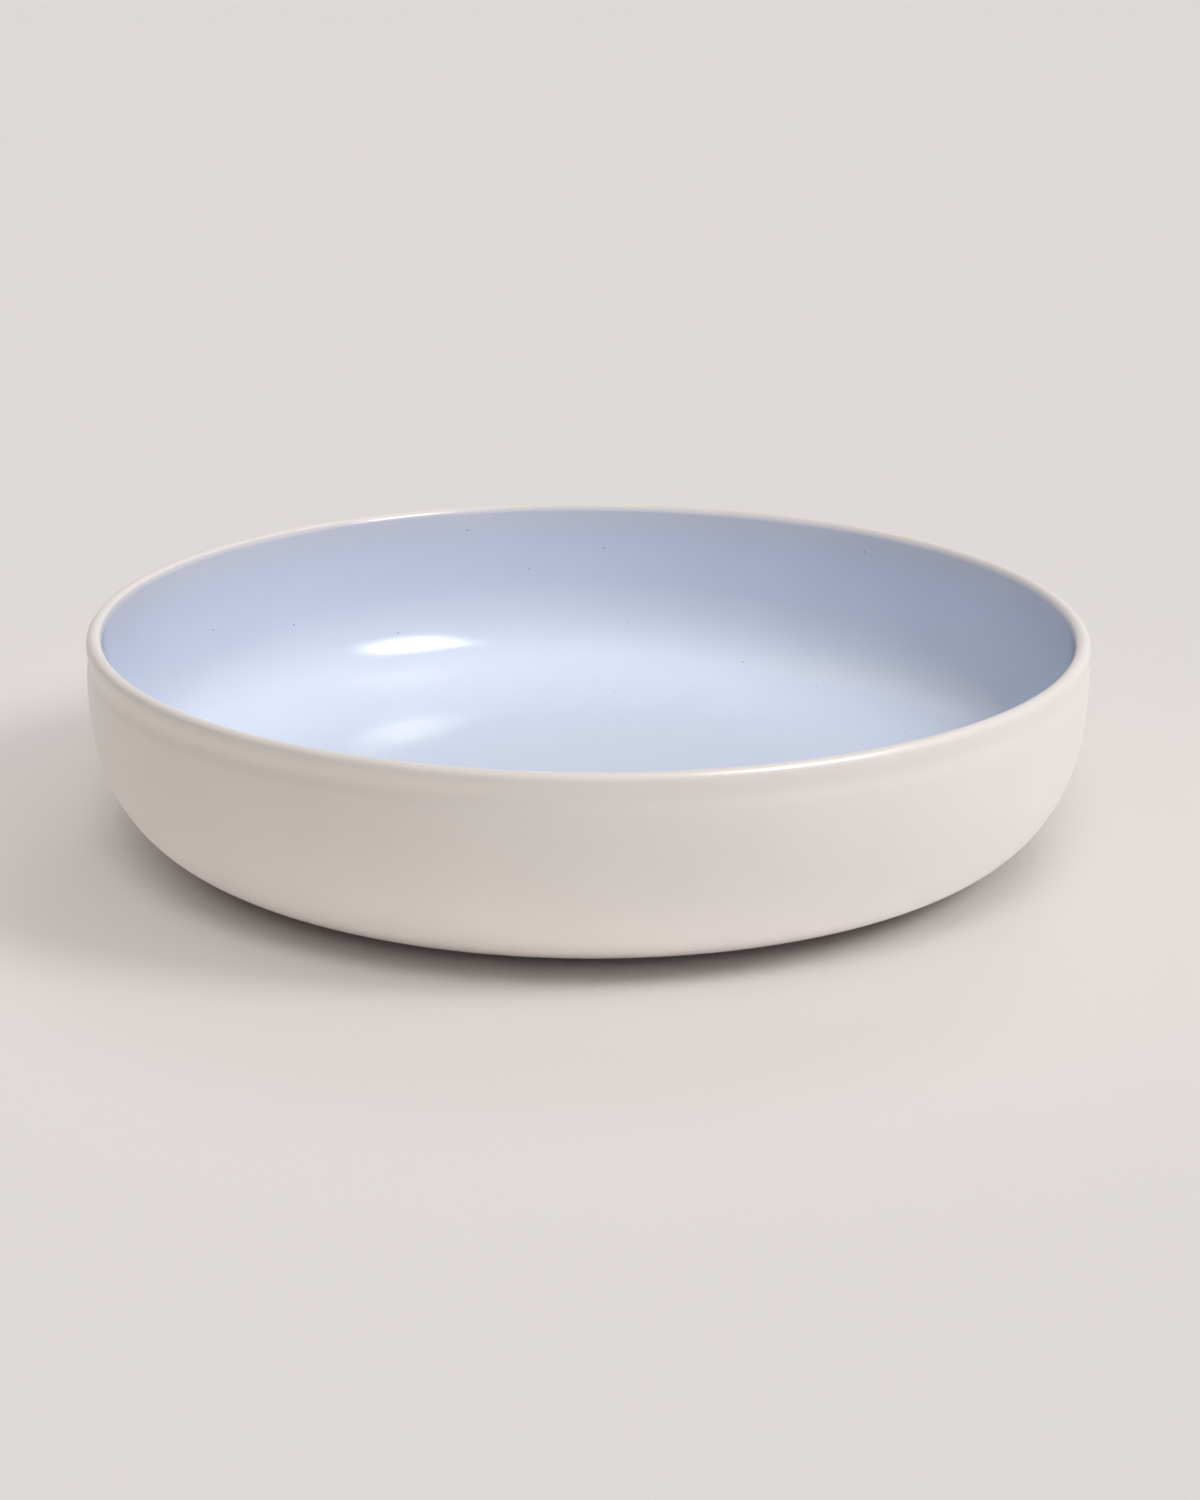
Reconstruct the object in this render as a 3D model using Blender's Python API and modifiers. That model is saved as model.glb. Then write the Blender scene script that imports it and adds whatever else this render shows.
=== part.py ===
"""Low round serving bowl: a turned stoneware body with a gloss glaze inside and a satin glaze outside.

Metres, +Z up. The origin is the middle of the foot ring, on the table.
"""
import math

import bpy

# The finished bowl, measured over its glaze
BOWL_DIAMETER = 0.300
BOWL_HEIGHT = 0.067
RIM_THICKNESS = 0.0047
BASE_THICKNESS = 0.0092

# The outside of the wall, from the round lip downwards
LIP_BAND = 0.0006
GROOVE_WIDTH = 0.0085
GROOVE_DEPTH = 0.00035
BELLY_BAND = 0.0018
WALL_FULLNESS = 0.466
KNEE_FULLNESS = 0.82

# The inside of the wall, upright under the lip and swept into a flat floor
INSIDE_BAND = 0.0072
INSIDE_FULLNESS = 1.0
INSIDE_KNEE = 0.78
FLOOR_DIAMETER = 0.1548

# The foot ring and the underside
FOOT_DIAMETER = 0.200
FOOT_WIDTH = 0.007
FOOT_HEIGHT = 0.0025
FOOT_EDGE = 0.0009
LEDGE_WIDTH = 0.0055
WELL_HEIGHT = 0.0035

# The glaze coats, which stop short of each other and of the bare foot
GLAZE_THICKNESS = 0.0006
BOND_GAP = 0.0003
DRY_MARGIN = 0.0015
COLOUR_LINE_DEG = 45.0

# How finely the round shapes are cut
TURN_STEPS = 64
WALL_STEPS = 9
LIP_STEPS = 6
INNER_LIP_STEPS = 2
GROOVE_STEPS = 4
SHARP_DEG = 35.0
WELD_DISTANCE = 0.00001

COLLECTION = "serving_bowl"

COAT_DEPTH = GLAZE_THICKNESS + BOND_GAP
BOWL_RADIUS = BOWL_DIAMETER / 2
FOOT_RADIUS = FOOT_DIAMETER / 2
WELL_RADIUS = FOOT_RADIUS - FOOT_WIDTH
LIP_RADIUS = RIM_THICKNESS / 2
LIP_CENTRE = (BOWL_RADIUS - LIP_RADIUS, BOWL_HEIGHT - LIP_RADIUS)
FLOOR_HEIGHT = FOOT_HEIGHT + BASE_THICKNESS


def cubic(start, start_handle, end_handle, end, steps):
    """Points of a cubic curve between two handles."""
    points = []
    for i in range(steps + 1):
        t = i / steps
        weights = ((1 - t) ** 3, 3 * (1 - t) ** 2 * t, 3 * (1 - t) * t ** 2, t ** 3)
        corners = (start, start_handle, end_handle, end)
        points.append(tuple(sum(w * c[k] for w, c in zip(weights, corners)) for k in (0, 1)))
    return points


def lip_arc(start_deg, end_deg, steps):
    """Points on the round lip, by angle: 180 faces the middle of the bowl, 90 is the top, 0 faces out."""
    points = []
    for i in range(steps + 1):
        angle = math.radians(start_deg + (end_deg - start_deg) * i / steps)
        across = LIP_RADIUS * math.cos(angle)
        up = LIP_RADIUS * math.sin(angle)
        points.append((LIP_CENTRE[0] + across, LIP_CENTRE[1] + up))
    return points


def normals(points):
    """Unit normals to the left of a line of points."""
    found = []
    last = len(points) - 1
    for i in range(len(points)):
        before = points[max(i - 1, 0)]
        after = points[min(i + 1, last)]
        run = (after[0] - before[0], after[1] - before[1])
        length = math.hypot(*run)
        found.append((-run[1] / length, run[0] / length))
    return found


def sunk(points, depth):
    """The same line, moved into the clay by a depth."""
    return [(max(p[0] - depth * n[0], 0.0), p[1] - depth * n[1]) for p, n in zip(points, normals(points))]


def wall_curve():
    """The outside below the belly, from upright down to the flat underside beside the foot ring."""
    top = LIP_CENTRE[1] - LIP_BAND - GROOVE_WIDTH - BELLY_BAND
    base_radius = FOOT_RADIUS + LEDGE_WIDTH
    return cubic(
        (BOWL_RADIUS, top),
        (BOWL_RADIUS, top - WALL_FULLNESS * (top - FOOT_HEIGHT)),
        (base_radius + KNEE_FULLNESS * (BOWL_RADIUS - base_radius), FOOT_HEIGHT),
        (base_radius, FOOT_HEIGHT),
        WALL_STEPS,
    )


def groove():
    """The shallow groove that sets the lip off from the wall, top to bottom."""
    points = []
    top = LIP_CENTRE[1] - LIP_BAND
    for i in range(GROOVE_STEPS + 1):
        share = i / GROOVE_STEPS
        depth = GROOVE_DEPTH * (1 - math.cos(2 * math.pi * share)) / 2
        points.append((BOWL_RADIUS - depth, top - GROOVE_WIDTH * share))
    return points


def inside_wall():
    """The inside below the lip, from upright down to the edge of the flat floor."""
    top = LIP_CENTRE[1] - INSIDE_BAND
    mouth_radius = BOWL_RADIUS - RIM_THICKNESS
    floor_radius = FLOOR_DIAMETER / 2
    return cubic(
        (mouth_radius, top),
        (mouth_radius, top - INSIDE_FULLNESS * (top - FLOOR_HEIGHT)),
        (floor_radius + INSIDE_KNEE * (mouth_radius - floor_radius), FLOOR_HEIGHT),
        (floor_radius, FLOOR_HEIGHT),
        WALL_STEPS,
    )


def inside_line():
    """The glazed inside, from the middle of the floor up to the colour line on the lip."""
    lip = lip_arc(180.0, 90.0 + COLOUR_LINE_DEG, INNER_LIP_STEPS)
    return [(0.0, FLOOR_HEIGHT)] + inside_wall()[::-1] + lip


def outside_line():
    """The glazed outside, from the colour line over the lip, down the wall and in to the foot ring."""
    gap_deg = math.degrees(BOND_GAP / (LIP_RADIUS - GLAZE_THICKNESS))
    ledge_end = (FOOT_RADIUS + DRY_MARGIN, FOOT_HEIGHT)
    lip = lip_arc(90.0 + COLOUR_LINE_DEG - gap_deg, 0.0, LIP_STEPS)
    return lip + groove() + wall_curve() + [ledge_end]


def foot_line():
    """The bare foot ring and the underside within it, from its outer side in to the middle."""
    return [
        (FOOT_RADIUS, FOOT_HEIGHT + COAT_DEPTH),
        (FOOT_RADIUS, FOOT_EDGE),
        (FOOT_RADIUS - FOOT_EDGE, 0.0),
        (WELL_RADIUS + FOOT_EDGE, 0.0),
        (WELL_RADIUS, FOOT_EDGE),
        (WELL_RADIUS, WELL_HEIGHT + COAT_DEPTH),
        (0.0, WELL_HEIGHT + COAT_DEPTH),
    ]


def make_material(name, colour, roughness):
    material = bpy.data.materials.new(name)
    material.use_nodes = True
    shader = material.node_tree.nodes["Principled BSDF"]
    shader.inputs["Base Color"].default_value = (*colour, 1.0)
    shader.inputs["Roughness"].default_value = roughness
    shader.inputs["Metallic"].default_value = 0.0
    material.diffuse_color = (*colour, 1.0)
    return material


def turn(name, profile, material, collection, parent, ring=False):
    """Turn a profile at +X about the Z axis; a ring's profile is a closed loop clear of the axis."""
    edges = [(i, i + 1) for i in range(len(profile) - 1)]
    if ring:
        edges.append((len(profile) - 1, 0))
    outline = bpy.data.meshes.new(name + "_profile")
    outline.from_pydata([(x, 0.0, z) for x, z in profile], edges, [])
    piece = bpy.data.objects.new(name, outline)
    collection.objects.link(piece)
    screw = piece.modifiers.new("Turn", "SCREW")
    screw.axis = "Z"
    screw.angle = 2 * math.pi
    screw.steps = TURN_STEPS
    screw.render_steps = TURN_STEPS
    screw.use_merge_vertices = True
    screw.merge_threshold = WELD_DISTANCE
    turned = bpy.data.meshes.new_from_object(piece.evaluated_get(bpy.context.evaluated_depsgraph_get()))
    turned.name = name
    turned.shade_smooth()
    turned.set_sharp_from_angle(angle=math.radians(SHARP_DEG))
    turned.materials.append(material)
    piece.modifiers.clear()
    piece.data = turned
    bpy.data.meshes.remove(outline)
    piece.parent = parent
    return piece


def build():
    for old in list(bpy.data.objects):
        bpy.data.objects.remove(old, do_unlink=True)
    collection = bpy.data.collections.new(COLLECTION)
    bpy.context.scene.collection.children.link(collection)
    centre = bpy.data.objects.new("bowl_centre", None)
    centre.empty_display_size = BOWL_HEIGHT
    collection.objects.link(centre)

    clay = make_material("bare_stoneware", (0.58, 0.47, 0.37), 0.85)
    blue = make_material("pale_blue_gloss_glaze", (0.56, 0.61, 0.74), 0.12)
    cream = make_material("cream_satin_glaze", (0.74, 0.69, 0.64), 0.38)
    cream_base = make_material("cream_underside_glaze", (0.74, 0.69, 0.64), 0.42)

    inside = inside_line()
    outside = outside_line()
    skin = sunk(inside + outside, COAT_DEPTH)
    turn("stoneware_body", skin + foot_line(), clay, collection, centre)
    inside_coat = inside + sunk(inside, GLAZE_THICKNESS)[::-1]
    turn("interior_glaze", inside_coat, blue, collection, centre)
    outside_coat = outside + sunk(outside, GLAZE_THICKNESS)[::-1]
    turn("exterior_glaze", outside_coat, cream, collection, centre, ring=True)
    well_edge = WELL_RADIUS - DRY_MARGIN
    well_back = WELL_HEIGHT + GLAZE_THICKNESS
    well = [(0.0, well_back), (well_edge, well_back), (well_edge, WELL_HEIGHT), (0.0, WELL_HEIGHT)]
    turn("foot_well_glaze", well, cream_base, collection, centre)


build()
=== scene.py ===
"""Looks of the low serving bowl: its clay, its two glazes, a pale floor and soft studio light."""
import math

import bpy
import numpy as np
from mathutils import Matrix, Vector


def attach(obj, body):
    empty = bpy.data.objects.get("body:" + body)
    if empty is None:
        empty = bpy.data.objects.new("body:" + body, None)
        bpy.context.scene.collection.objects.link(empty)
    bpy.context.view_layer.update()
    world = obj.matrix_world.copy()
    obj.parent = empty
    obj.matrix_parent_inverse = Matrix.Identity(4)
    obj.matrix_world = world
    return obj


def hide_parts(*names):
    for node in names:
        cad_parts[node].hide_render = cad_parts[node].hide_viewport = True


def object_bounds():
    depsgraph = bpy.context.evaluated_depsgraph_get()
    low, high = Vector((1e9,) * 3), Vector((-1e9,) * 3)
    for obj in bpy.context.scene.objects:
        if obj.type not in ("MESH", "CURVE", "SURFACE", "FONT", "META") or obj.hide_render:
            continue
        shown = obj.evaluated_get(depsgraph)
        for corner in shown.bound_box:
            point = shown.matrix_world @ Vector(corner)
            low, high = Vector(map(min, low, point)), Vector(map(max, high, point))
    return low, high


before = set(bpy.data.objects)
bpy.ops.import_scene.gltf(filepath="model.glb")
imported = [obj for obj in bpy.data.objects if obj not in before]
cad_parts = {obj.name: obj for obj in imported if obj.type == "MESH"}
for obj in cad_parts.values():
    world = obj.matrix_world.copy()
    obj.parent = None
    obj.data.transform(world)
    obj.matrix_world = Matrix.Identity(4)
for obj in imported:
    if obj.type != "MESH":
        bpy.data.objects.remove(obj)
cad_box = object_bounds()

# The bowl's size comes from the frame. The sizes of its profile, in metres, are those of the solids,
# but for the groove, which is a little deeper so that it shows
BOWL_RADIUS = (cad_box[1].x - cad_box[0].x) / 2
BOWL_HEIGHT = cad_box[1].z - cad_box[0].z
RIM_THICKNESS = 0.0047
BASE_THICKNESS = 0.0092
LIP_BAND = 0.0006
GROOVE_WIDTH = 0.0085
GROOVE_DEPTH = 0.00045
BELLY_BAND = 0.0018
WALL_FULLNESS = 0.466
KNEE_FULLNESS = 0.82
INSIDE_BAND = 0.0072
INSIDE_FULLNESS = 1.0
INSIDE_KNEE = 0.78
FLOOR_RADIUS = 0.0774
FOOT_RADIUS = 0.100
FOOT_WIDTH = 0.007
FOOT_HEIGHT = 0.0025
FOOT_EDGE = 0.0009
LEDGE_WIDTH = 0.0055
WELL_HEIGHT = 0.0035
GLAZE_THICKNESS = 0.0006
BOND_GAP = 0.0003
DRY_MARGIN = 0.0015

# Angles on the round lip: 180 faces the middle of the bowl, 90 is the top, 0 faces out.
# The clay's outside starts a step past the colour line, where its inside ends
COLOUR_LINE_DEG = 135.0
CLAY_STEP_DEG = 3.0
# The cream laps over the blue at the colour line, and its edge thins out
LAP_DEG = 6.0
LAP_DEPTH = 0.00002
LAP_RINGS = 6
THIN_EDGE_DEG = 24.0

# A thrown bowl is never quite round: the lobes round it, how far each strays, and its phase
STRAY = ((2, 0.00010, 0.7), (3, 0.00006, 2.1), (5, 0.00004, 4.0))

# How finely the shapes are cut: round the bowl, down the shown faces, the coats' backs and the clay
TURN_STEPS = 360
SHOWN_STEPS = 72
BACK_STEPS = 16
CLAY_STEPS = 24
FLOOR_RINGS = 11
SHARP_DEG = 40.0
ON_AXIS = 1e-6

LIP_RADIUS = RIM_THICKNESS / 2
LIP_CENTRE = np.array((BOWL_RADIUS - LIP_RADIUS, BOWL_HEIGHT - LIP_RADIUS))
FLOOR_HEIGHT = FOOT_HEIGHT + BASE_THICKNESS
WELL_RADIUS = FOOT_RADIUS - FOOT_WIDTH
COAT_DEPTH = GLAZE_THICKNESS + BOND_GAP

# The camera stands where the photograph's did, on a 1200 by 1500 frame
CAMERA_DISTANCE = 1.199
CAMERA_ELEVATION_DEG = 15.68
CAMERA_AIM = (0.0037, 0.0, 0.0267)
CAMERA_ROLL_DEG = 0.41
CAMERA_LENS_MM = 95.62
SENSOR_MM = 36.0
CLIP_START = 0.05
CLIP_END = 50.0

FLOOR_COLOUR = (0.730, 0.694, 0.672)
FLOOR_SIDE = 40.0

# The blue runs from the floor up to lilac, where it thins over the lip; the lilac is partly that thinned
# glaze and partly a painted reflection of the sky that the rounded lip catches at a grazing angle
BLUE = (0.668, 0.717, 0.852)
BLUE_HIGH = (0.688, 0.710, 0.812)
BLUE_TOP = (0.700, 0.702, 0.775)
LILAC_BREAK_AND_SHEEN = (0.715, 0.690, 0.720)
BLUE_STOPS = ((0.0, BLUE), (0.25, BLUE), (0.60, BLUE_HIGH), (0.91, BLUE_TOP), (0.96, LILAC_BREAK_AND_SHEEN))
BLUE_CLOUD = ((0.985, 0.985, 0.990), (1.015, 1.015, 1.010))
BLUE_ROUGHNESS = (0.02, 0.045)
BLUE_IOR = 1.52
BLUE_SPECK = (0.30, 0.31, 0.36)
BLUE_PIT_DEPTH = 0.6
THIN_FROM = 0.050
THIN_MARGIN = 0.0006
RUN_HEIGHT = 0.0009
CREAM = (0.762, 0.717, 0.690)
CREAM_CLOUD = (0.985, 1.015)
CREAM_ROUGHNESS = (0.30, 0.40)
CREAM_IOR = 1.5
CREAM_RIPPLE = 1.5
CREAM_SPECK = (0.42, 0.36, 0.31)
CLAY = ((0.50, 0.39, 0.29), (0.62, 0.51, 0.41))
CLAY_ROUGHNESS = (0.80, 0.92)
CLAY_IRON = (0.24, 0.15, 0.09)
GLAZE_RELIEF = 0.00004
CLAY_RELIEF = 0.0001

NEUTRAL = (1.0, 1.0, 1.0)
WARM = (1.0, 0.93, 0.84)
COOL = (0.94, 1.0, 1.06)
KEY_TINT = (1.0, 0.99, 0.965)
# Wide soft lamps: azimuth, elevation and spread in degrees, then strength and colour
INSIDE_LAMPS = {
    "key": (122.0, 55.0, 46.0, 1.30, KEY_TINT),
    "key_high": (142.0, 80.0, 40.0, 1.46, KEY_TINT),
    "front": (190.0, 40.0, 50.0, 0.28, COOL),
}
# Those below the horizon are the light that a bright table throws up, from beyond the bowl's own shade
OUTSIDE_LAMPS = {
    "side_key": (90.0, 56.0, 40.0, 2.00, NEUTRAL),
    "side_low": (120.0, 6.0, 40.0, 0.71, COOL),
    "front_wall": (180.0, 18.0, 40.0, 0.42, WARM),
    "left_wall": (240.0, 8.0, 40.0, 0.27, WARM),
    "top": (180.0, 84.0, 40.0, 0.64, KEY_TINT),
    "rear": (0.0, 25.0, 50.0, 0.50, NEUTRAL),
    "table_right": (95.0, -45.0, 40.0, 0.58, COOL),
    "table_front": (160.0, -45.0, 40.0, 0.50, NEUTRAL),
    "table_left": (300.0, -18.0, 40.0, 0.56, WARM),
}
FLOOR_LAMPS = {
    "dome": (0.0, 90.0, 110.0, 1.49, NEUTRAL),
    "back": (15.0, 38.0, 22.0, 0.27, NEUTRAL),
    "side": (103.0, 38.0, 22.0, 1.13, NEUTRAL),
    "front_high": (180.0, 58.0, 22.0, 0.48, NEUTRAL),
    "front_low": (180.0, 26.0, 22.0, 0.46, NEUTRAL),
}
SHADE_RADIUS = 0.138
SHADE_LIFT = 0.0002
SKY = 0.06

# What only the gloss mirrors: a box lamp, bright in its middle, and a ceiling that brightens to the left
BOX_AZIMUTH_DEG = 117.5
BOX_ELEVATION_DEG = 51.5
BOX_REACH = 4.0
BOX_HALF_ANGLES_DEG = (14.5, 18.5)
BOX_ROLL_DEG = -12.0
BOX_AIM_HEIGHT = 0.03
BOX_BRIGHTNESS = 20.0
BELL = ((0.0, 0.0), (0.5, 1.0), (1.0, 0.0))
CEILING_PLACE = (0.09, -0.5, 1.8)
CEILING_SIZE = (4.63, 5.1)
CEILING_BRIGHTNESS = 0.30
RISE = ((0.0, 0.0), (1.0, 1.0))


def cubic(start, start_handle, end_handle, end, steps):
    """Points of a cubic curve between two handles."""
    t = np.linspace(0, 1, steps + 1)[:, None]
    corners = [np.array(c) for c in (start, start_handle, end_handle, end)]
    weights = ((1 - t) ** 3, 3 * (1 - t) ** 2 * t, 3 * (1 - t) * t ** 2, t ** 3)
    return sum(w * c for w, c in zip(weights, corners))


def lip_arc(start_deg, end_deg, steps):
    angle = np.radians(np.linspace(start_deg, end_deg, steps + 1))
    return LIP_CENTRE + LIP_RADIUS * np.stack([np.cos(angle), np.sin(angle)], 1)


def wall_curve(steps):
    """The outside below the belly, from upright down to the flat underside beside the foot ring."""
    top = LIP_CENTRE[1] - LIP_BAND - GROOVE_WIDTH - BELLY_BAND
    base_radius = FOOT_RADIUS + LEDGE_WIDTH
    return cubic(
        (BOWL_RADIUS, top),
        (BOWL_RADIUS, top - WALL_FULLNESS * (top - FOOT_HEIGHT)),
        (base_radius + KNEE_FULLNESS * (BOWL_RADIUS - base_radius), FOOT_HEIGHT),
        (base_radius, FOOT_HEIGHT),
        steps,
    )


def groove(steps):
    """The shallow groove that sets the lip off from the wall, top to bottom."""
    share = np.linspace(0, 1, steps + 1)
    depth = GROOVE_DEPTH * (1 - np.cos(2 * math.pi * share)) / 2
    return np.stack([BOWL_RADIUS - depth, LIP_CENTRE[1] - LIP_BAND - GROOVE_WIDTH * share], 1)


def sunk(points, depth):
    """A line of points moved to its right by a depth, or by one depth for each point."""
    run = np.empty_like(points)
    run[1:-1] = points[2:] - points[:-2]
    run[0] = points[1] - points[0]
    run[-1] = points[-1] - points[-2]
    run /= np.linalg.norm(run, axis=1)[:, None]
    normal = np.stack([-run[:, 1], run[:, 0]], 1)
    moved = points - np.broadcast_to(depth, len(points))[:, None] * normal
    moved[:, 0] = np.maximum(moved[:, 0], 0.0)
    return moved


def inside_wall(steps):
    """The inside below the lip, from upright down to the edge of the flat floor."""
    top = LIP_CENTRE[1] - INSIDE_BAND
    mouth_radius = BOWL_RADIUS - RIM_THICKNESS
    return cubic(
        (mouth_radius, top),
        (mouth_radius, top - INSIDE_FULLNESS * (top - FLOOR_HEIGHT)),
        (FLOOR_RADIUS + INSIDE_KNEE * (mouth_radius - FLOOR_RADIUS), FLOOR_HEIGHT),
        (FLOOR_RADIUS, FLOOR_HEIGHT),
        steps,
    )


def inside_line(steps, end_deg):
    """The inside, from the middle of the floor up to an angle on the lip."""
    wall = inside_wall(steps)[::-1]
    reach = np.linspace(0, wall[0][0], FLOOR_RINGS, endpoint=False)
    floor = np.stack([reach, np.full(FLOOR_RINGS, FLOOR_HEIGHT)], 1)
    # The lip is short, so it takes fewer steps than the wall
    lip_steps = max(steps // 6, 3)
    return np.concatenate([floor, wall, lip_arc(180.0, end_deg, lip_steps)])


def outside_line(steps, start_deg):
    """The outside, from an angle on the lip down the wall and in to the foot ring."""
    ledge_end = [(FOOT_RADIUS + DRY_MARGIN, FOOT_HEIGHT)]
    lip_steps = max(steps // 3, 6)
    lip = lip_arc(start_deg, 0.0, lip_steps)
    return np.concatenate([lip, groove(lip_steps), wall_curve(steps), ledge_end])


def new_object(name, data):
    made = bpy.data.objects.new(name, data)
    bpy.context.scene.collection.objects.link(made)
    return made


def turned(name, profile, ring=False):
    """A closed mesh turned from a profile that runs down its outer side; a ring is clear of the axis."""
    angle = np.linspace(0, 2 * math.pi, TURN_STEPS, endpoint=False)
    stray = sum(size * np.sin(lobes * angle + phase) for lobes, size, phase in STRAY)
    verts, rings = [], []
    for radius, z in profile:
        if radius < ON_AXIS:
            rings.append([len(verts)])
            verts.append((0.0, 0.0, z))
            continue
        rings.append(list(range(len(verts), len(verts) + TURN_STEPS)))
        out = radius + stray * (radius / BOWL_RADIUS) ** 2
        verts.extend(zip(out * np.cos(angle), out * np.sin(angle), np.full(TURN_STEPS, z)))
    faces = []
    pairs = list(zip(rings[:-1], rings[1:])) + ([(rings[-1], rings[0])] if ring else [])
    for upper, lower in pairs:
        for k in range(TURN_STEPS):
            n = (k + 1) % TURN_STEPS
            if len(upper) == 1:
                faces.append((upper[0], lower[k], lower[n]))
            elif len(lower) == 1:
                faces.append((upper[k], lower[0], upper[n]))
            else:
                faces.append((upper[k], lower[k], lower[n], upper[n]))
    mesh = bpy.data.meshes.new(name)
    mesh.from_pydata(verts, [], faces)
    mesh.shade_smooth()
    mesh.set_sharp_from_angle(angle=math.radians(SHARP_DEG))
    return new_object(name, mesh)


def dress(piece, node, material):
    piece.data.materials.append(material)
    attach(piece, "root")
    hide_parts(node)
    return piece


def new_material(name):
    material = bpy.data.materials.new(name)
    material.use_nodes = True
    tree = material.node_tree
    return material, tree, tree.nodes["Principled BSDF"]


def feed(tree, socket, value):
    """Give an input a number, a colour or the output of another node."""
    if isinstance(value, bpy.types.NodeSocket):
        tree.links.new(value, socket)
    elif isinstance(value, tuple):
        socket.default_value = (*value, 1.0)
    else:
        socket.default_value = value


def add(tree, kind, **inputs):
    """A new node, its inputs fed by name."""
    node = tree.nodes.new(kind)
    for key, value in inputs.items():
        feed(tree, node.inputs[key.replace("_", " ")], value)
    return node


def calculate(tree, operation, *terms):
    """The result of a math node on numbers or the outputs of other nodes."""
    node = tree.nodes.new("ShaderNodeMath")
    node.operation = operation
    for socket, term in zip(node.inputs, terms):
        feed(tree, socket, term)
    return node.outputs[0]


def ramp(tree, source, stops):
    """A colour ramp; each stop is a place and a colour, or a place and a grey."""
    node = add(tree, "ShaderNodeValToRGB", Fac=source)
    elements = node.color_ramp.elements
    while len(elements) < len(stops):
        elements.new(0.5)
    for element, (place, colour) in zip(elements, stops):
        grey = isinstance(colour, (int, float))
        element.position = place
        element.color = (colour, colour, colour, 1.0) if grey else (*colour, 1.0)
    return node.outputs["Color"]


def blend(tree, mode, factor, first, second):
    """Two colours mixed; the node's colour sockets are its inputs 6 and 7 and its output 2."""
    node = add(tree, "ShaderNodeMix")
    node.data_type = "RGBA"
    node.blend_type = mode
    feed(tree, node.inputs["Factor"], factor)
    feed(tree, node.inputs[6], first)
    feed(tree, node.inputs[7], second)
    return node.outputs[2]


def noise(tree, place, scale, detail, roughness=0.55):
    node = add(tree, "ShaderNodeTexNoise", Vector=place, Scale=scale, Detail=detail, Roughness=roughness)
    return node.outputs["Fac"]


def specks(tree, place, scale, core, rim, strength=1.0):
    """A mask of strewn round specks, full within the core and gone at the rim."""
    cells = add(tree, "ShaderNodeTexVoronoi", Vector=place, Scale=scale, Randomness=1.0)
    return ramp(tree, cells.outputs["Distance"], ((core, strength), (rim, 0.0)))


def patches(tree, source, band, low_high):
    """Soft patches from a low to a high value or colour, as a noise goes through a band."""
    return ramp(tree, source, tuple(zip(band, low_high)))


def bumped(tree, shader, height, strength, distance):
    relief = add(tree, "ShaderNodeBump", Strength=strength, Distance=distance, Height=height)
    tree.links.new(relief.outputs["Normal"], shader.inputs["Normal"])


def object_place(tree):
    return tree.nodes.new("ShaderNodeTexCoord").outputs["Object"]


def blue_glaze():
    """Clear-looking pale blue gloss that breaks to a lilac cream where it thins over the lip; the lilac is
    partly a painted reflection of the sky on the lip.
    """
    material, tree, shader = new_material("pale_blue_gloss_glaze")
    place = object_place(tree)
    z = add(tree, "ShaderNodeSeparateXYZ", Vector=place).outputs["Z"]
    run = noise(tree, place, scale=38.0, detail=3.0)
    up = add(
        tree,
        "ShaderNodeMapRange",
        Value=calculate(tree, "MULTIPLY_ADD", run, RUN_HEIGHT, z),
        From_Min=THIN_FROM + RUN_HEIGHT / 2,
        From_Max=BOWL_HEIGHT - THIN_MARGIN + RUN_HEIGHT / 2,
    )
    # The ramp's lilac top is partly thinned glaze and partly a painted reflection of the sky on the lip
    coat = ramp(tree, up.outputs["Result"], BLUE_STOPS)
    cloudiness = noise(tree, place, scale=26.0, detail=5.0, roughness=0.6)
    cloud = patches(tree, cloudiness, band=(0.30, 0.70), low_high=BLUE_CLOUD)
    clouded = blend(tree, "MULTIPLY", 1.0, coat, cloud)
    speck = specks(tree, place, scale=120.0, core=0.022, rim=0.045)
    tree.links.new(blend(tree, "MIX", speck, clouded, BLUE_SPECK), shader.inputs["Base Color"])
    smear = noise(tree, place, scale=55.0, detail=4.0)
    gloss = patches(tree, smear, band=(0.25, 0.75), low_high=BLUE_ROUGHNESS)
    tree.links.new(gloss, shader.inputs["Roughness"])
    ripple = noise(tree, place, scale=150.0, detail=2.0)
    pitted = calculate(tree, "MULTIPLY_ADD", speck, -BLUE_PIT_DEPTH, ripple)
    bumped(tree, shader, pitted, strength=0.12, distance=GLAZE_RELIEF)
    shader.inputs["IOR"].default_value = BLUE_IOR
    return material


def cream_glaze(name):
    """Satin cream with a faint cloudiness and a fine dry grain."""
    material, tree, shader = new_material(name)
    place = object_place(tree)
    cloudiness = noise(tree, place, scale=30.0, detail=5.0, roughness=0.6)
    shades = [tuple(level * c for c in CREAM) for level in CREAM_CLOUD]
    coat = patches(tree, cloudiness, band=(0.30, 0.70), low_high=shades)
    speck = specks(tree, place, scale=170.0, core=0.020, rim=0.040, strength=0.35)
    tree.links.new(blend(tree, "MIX", speck, coat, CREAM_SPECK), shader.inputs["Base Color"])
    smear = noise(tree, place, scale=70.0, detail=4.0)
    satin = patches(tree, smear, band=(0.25, 0.75), low_high=CREAM_ROUGHNESS)
    tree.links.new(satin, shader.inputs["Roughness"])
    dry = noise(tree, place, scale=900.0, detail=3.0)
    ripple = noise(tree, place, scale=120.0, detail=2.0)
    grain = calculate(tree, "MULTIPLY_ADD", ripple, CREAM_RIPPLE, dry)
    bumped(tree, shader, grain, strength=0.10, distance=GLAZE_RELIEF)
    shader.inputs["IOR"].default_value = CREAM_IOR
    return material


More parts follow.
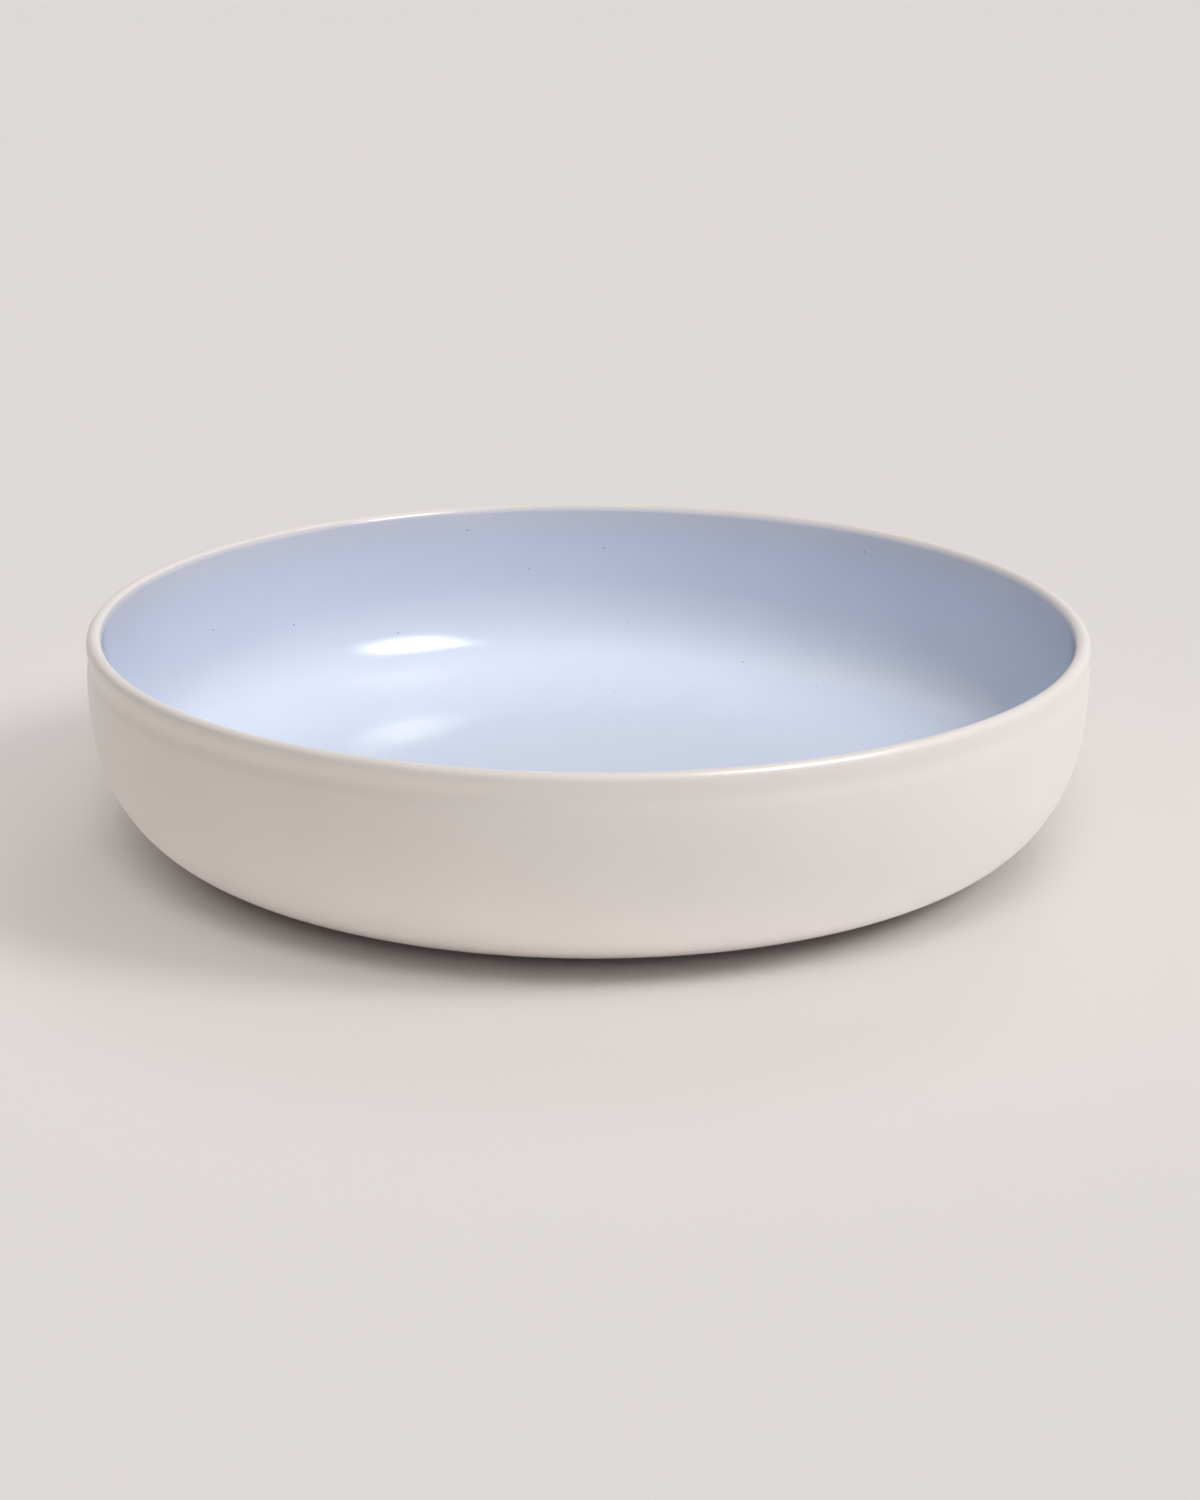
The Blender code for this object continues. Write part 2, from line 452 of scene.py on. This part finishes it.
def bare_clay():
    """Dry toasted stoneware with a sandy grain."""
    material, tree, shader = new_material("bare_stoneware")
    place = object_place(tree)
    grain = noise(tree, place, scale=700.0, detail=5.0, roughness=0.7)
    body = patches(tree, grain, band=(0.35, 0.65), low_high=CLAY)
    iron = specks(tree, place, scale=420.0, core=0.06, rim=0.12)
    tree.links.new(blend(tree, "MIX", iron, body, CLAY_IRON), shader.inputs["Base Color"])
    dry = patches(tree, grain, band=(0.3, 0.7), low_high=CLAY_ROUGHNESS)
    tree.links.new(dry, shader.inputs["Roughness"])
    bumped(tree, shader, grain, strength=0.5, distance=CLAY_RELIEF)
    return material


def make_bowl():
    """The four pieces, the inside coat first."""
    blue_end_deg = COLOUR_LINE_DEG - LAP_DEG
    inside = inside_line(SHOWN_STEPS, blue_end_deg)
    inside_back = sunk(inside_line(BACK_STEPS, blue_end_deg), GLAZE_THICKNESS)
    lapped = np.zeros(len(inside))
    lapped[-LAP_RINGS:] = LAP_DEPTH * np.linspace(0, 1, LAP_RINGS)
    blue = turned("interior_glaze_coat", np.concatenate([sunk(inside, lapped), inside_back[::-1]]))
    pieces = [dress(blue, "interior_glaze", blue_glaze())]

    outside = outside_line(SHOWN_STEPS, COLOUR_LINE_DEG)
    outside_back = sunk(outside_line(BACK_STEPS, COLOUR_LINE_DEG - THIN_EDGE_DEG), GLAZE_THICKNESS)
    cream = turned("exterior_glaze_coat", np.concatenate([outside, outside_back[::-1]]), ring=True)
    pieces.append(dress(cream, "exterior_glaze", cream_glaze("cream_satin_glaze")))

    well_edge = WELL_RADIUS - DRY_MARGIN
    well_back = WELL_HEIGHT + GLAZE_THICKNESS
    well_line = ((0, well_back), (well_edge, well_back), (well_edge, WELL_HEIGHT), (0, WELL_HEIGHT))
    well = turned("foot_well_coat", well_line)
    well_coat = cream_glaze("cream_underside_glaze")
    pieces.append(dress(well, "foot_well_glaze", well_coat))

    clay_inside = inside_line(CLAY_STEPS, COLOUR_LINE_DEG)
    clay_outside = outside_line(CLAY_STEPS, COLOUR_LINE_DEG - CLAY_STEP_DEG)
    skin = sunk(np.concatenate([clay_inside, clay_outside]), COAT_DEPTH)
    foot = np.array([
        (FOOT_RADIUS, FOOT_HEIGHT + COAT_DEPTH),
        (FOOT_RADIUS, FOOT_EDGE),
        (FOOT_RADIUS - FOOT_EDGE, 0.0),
        (WELL_RADIUS + FOOT_EDGE, 0.0),
        (WELL_RADIUS, FOOT_EDGE),
        (WELL_RADIUS, WELL_HEIGHT + COAT_DEPTH),
        (0.0, WELL_HEIGHT + COAT_DEPTH),
    ])
    clay = turned("stoneware_clay", np.concatenate([skin, foot]))
    pieces.append(dress(clay, "stoneware_body", bare_clay()))
    return pieces


def make_floor():
    half = FLOOR_SIDE / 2
    corners = [(-half, -half, 0), (half, -half, 0), (half, half, 0), (-half, half, 0)]
    mesh = bpy.data.meshes.new("studio_floor")
    mesh.from_pydata(corners, [], [(0, 1, 2, 3)])
    floor = new_object("studio_floor", mesh)
    material, _, shader = new_material("pale_floor")
    shader.inputs["Base Color"].default_value = (*FLOOR_COLOUR, 1.0)
    shader.inputs["Roughness"].default_value = 1.0
    shader.inputs["Specular IOR Level"].default_value = 0.0
    mesh.materials.append(material)
    return floor


def towards(azimuth_deg, elevation_deg):
    """A direction from the bowl: azimuth 0 is behind it, 90 on its right, 180 towards the camera."""
    a, e = math.radians(azimuth_deg), math.radians(elevation_deg)
    return Vector((math.sin(a) * math.cos(e), math.cos(a) * math.cos(e), math.sin(e)))


def rolled(facing, roll_deg):
    """The rotation of a facing, rolled about its own axis."""
    return (facing.to_matrix() @ Matrix.Rotation(math.radians(roll_deg), 3, "Z")).to_euler()


def make_camera():
    data = bpy.data.cameras.new("camera")
    data.sensor_width = SENSOR_MM
    data.lens = CAMERA_LENS_MM
    data.clip_start = CLIP_START
    data.clip_end = CLIP_END
    camera = new_object("camera", data)
    lift = math.radians(CAMERA_ELEVATION_DEG)
    back = Vector((0.0, -math.cos(lift), math.sin(lift)))
    camera.location = back * CAMERA_DISTANCE + Vector((0, 0, BOWL_HEIGHT))
    look = Vector(CAMERA_AIM) - camera.location
    camera.rotation_euler = rolled(look.to_track_quat("-Z", "Y"), CAMERA_ROLL_DEG)
    bpy.context.scene.camera = camera


def hang(name, data, direction, place=(0, 0, 0), roll_deg=0.0):
    """A lamp that hangs in a direction from the bowl and shines back at it."""
    lamp = new_object(name, data)
    lamp.location = place
    lamp.rotation_euler = rolled(direction.to_track_quat("Z", "Y"), roll_deg)
    return lamp


def group(name, pieces):
    """A set of objects that a lamp lights, or that block its light."""
    members = bpy.data.collections.new(name)
    for piece in pieces:
        members.objects.link(piece)
    return members


def wide_lamps(lamps, lit, blockers):
    """Far, wide and soft lamps that the gloss doesn't mirror."""
    for name, (azimuth_deg, elevation_deg, spread_deg, strength, colour) in lamps.items():
        data = bpy.data.lights.new(name, "SUN")
        data.energy = strength
        data.angle = math.radians(spread_deg)
        data.color = colour
        lamp = hang(name, data, towards(azimuth_deg, elevation_deg))
        lamp.visible_glossy = False
        lamp.light_linking.receiver_collection = lit
        lamp.light_linking.blocker_collection = blockers


def gloss_panel(name, direction, place, size, brightness, fades, roll_deg=0.0):
    """A rectangular lamp that only gloss mirrors; fades are its brightness along its X and its Y."""
    data = bpy.data.lights.new(name, "AREA")
    data.shape = "RECTANGLE"
    data.size, data.size_y = size
    data.energy = brightness * math.pi * size[0] * size[1]
    data.use_nodes = True
    tree = data.node_tree
    spot = tree.nodes.new("ShaderNodeNewGeometry").outputs["Parametric"]
    sides = add(tree, "ShaderNodeSeparateXYZ", Vector=spot)
    level = 1.0
    for axis, stops in fades.items():
        fade = ramp(tree, sides.outputs[axis], stops)
        fade.node.color_ramp.interpolation = "EASE"
        level = calculate(tree, "MULTIPLY", level, fade)
    tree.links.new(level, tree.nodes["Emission"].inputs["Strength"])
    lamp = hang(name, data, direction, place, roll_deg)
    lamp.visible_camera = False
    lamp.visible_diffuse = False


def table_shade():
    """A hidden disc under the bowl: where the bowl shades the table, the table throws no light up."""
    angle = np.linspace(0, 2 * math.pi, TURN_STEPS, endpoint=False)
    rim = np.stack([np.cos(angle), np.sin(angle), np.zeros(TURN_STEPS)], 1) * SHADE_RADIUS
    mesh = bpy.data.meshes.new("table_shade")
    mesh.from_pydata((rim + (0, 0, SHADE_LIFT)).tolist(), [], [tuple(range(TURN_STEPS))])
    disc = new_object("table_shade", mesh)
    disc.visible_camera = False
    disc.visible_diffuse = False
    disc.visible_glossy = False
    return disc


def make_world():
    """An even dim sky; past the floor the camera, gloss and glass see the floor's colour."""
    world = bpy.data.worlds.new("studio")
    bpy.context.scene.world = world
    world.use_nodes = True
    tree = world.node_tree
    sky = tree.nodes["Background"]
    feed(tree, sky.inputs["Color"], (SKY, SKY, SKY))
    backdrop = add(tree, "ShaderNodeBackground", Color=FLOOR_COLOUR)
    ray = tree.nodes.new("ShaderNodeLightPath").outputs
    seen = ray["Is Camera Ray"]
    for kind in ("Is Glossy Ray", "Is Transmission Ray"):
        seen = calculate(tree, "MAXIMUM", seen, ray[kind])
    shown = add(tree, "ShaderNodeMixShader", Fac=seen)
    tree.links.new(sky.outputs[0], shown.inputs[1])
    tree.links.new(backdrop.outputs[0], shown.inputs[2])
    tree.links.new(shown.outputs[0], tree.nodes["World Output"].inputs["Surface"])


def make_light(bowl, floor):
    """Lamps for the inside coat, for the other pieces and for the floor, and what the gloss mirrors."""
    make_world()
    inside, others = bowl[:1], bowl[1:]
    casts_shade = group("casts_shade", bowl)
    wide_lamps(INSIDE_LAMPS, group("lit_inside", inside), casts_shade)
    wide_lamps(OUTSIDE_LAMPS, group("lit_outside", others), group("shades_outside", bowl + [table_shade()]))
    wide_lamps(FLOOR_LAMPS, group("lit_floor", [floor]), casts_shade)
    box = towards(BOX_AZIMUTH_DEG, BOX_ELEVATION_DEG)
    box_place = box * BOX_REACH + Vector((0, 0, BOX_AIM_HEIGHT))
    box_size = [2 * BOX_REACH * math.tan(math.radians(half)) for half in BOX_HALF_ANGLES_DEG]
    gloss_panel("box", box, box_place, box_size, BOX_BRIGHTNESS, {"X": BELL, "Y": BELL}, BOX_ROLL_DEG)
    up = Vector((0, 0, 1))
    gloss_panel("ceiling", up, CEILING_PLACE, CEILING_SIZE, CEILING_BRIGHTNESS, {"X": RISE})


make_camera()
make_light(make_bowl(), make_floor())
bpy.context.scene.view_settings.view_transform = "Standard"
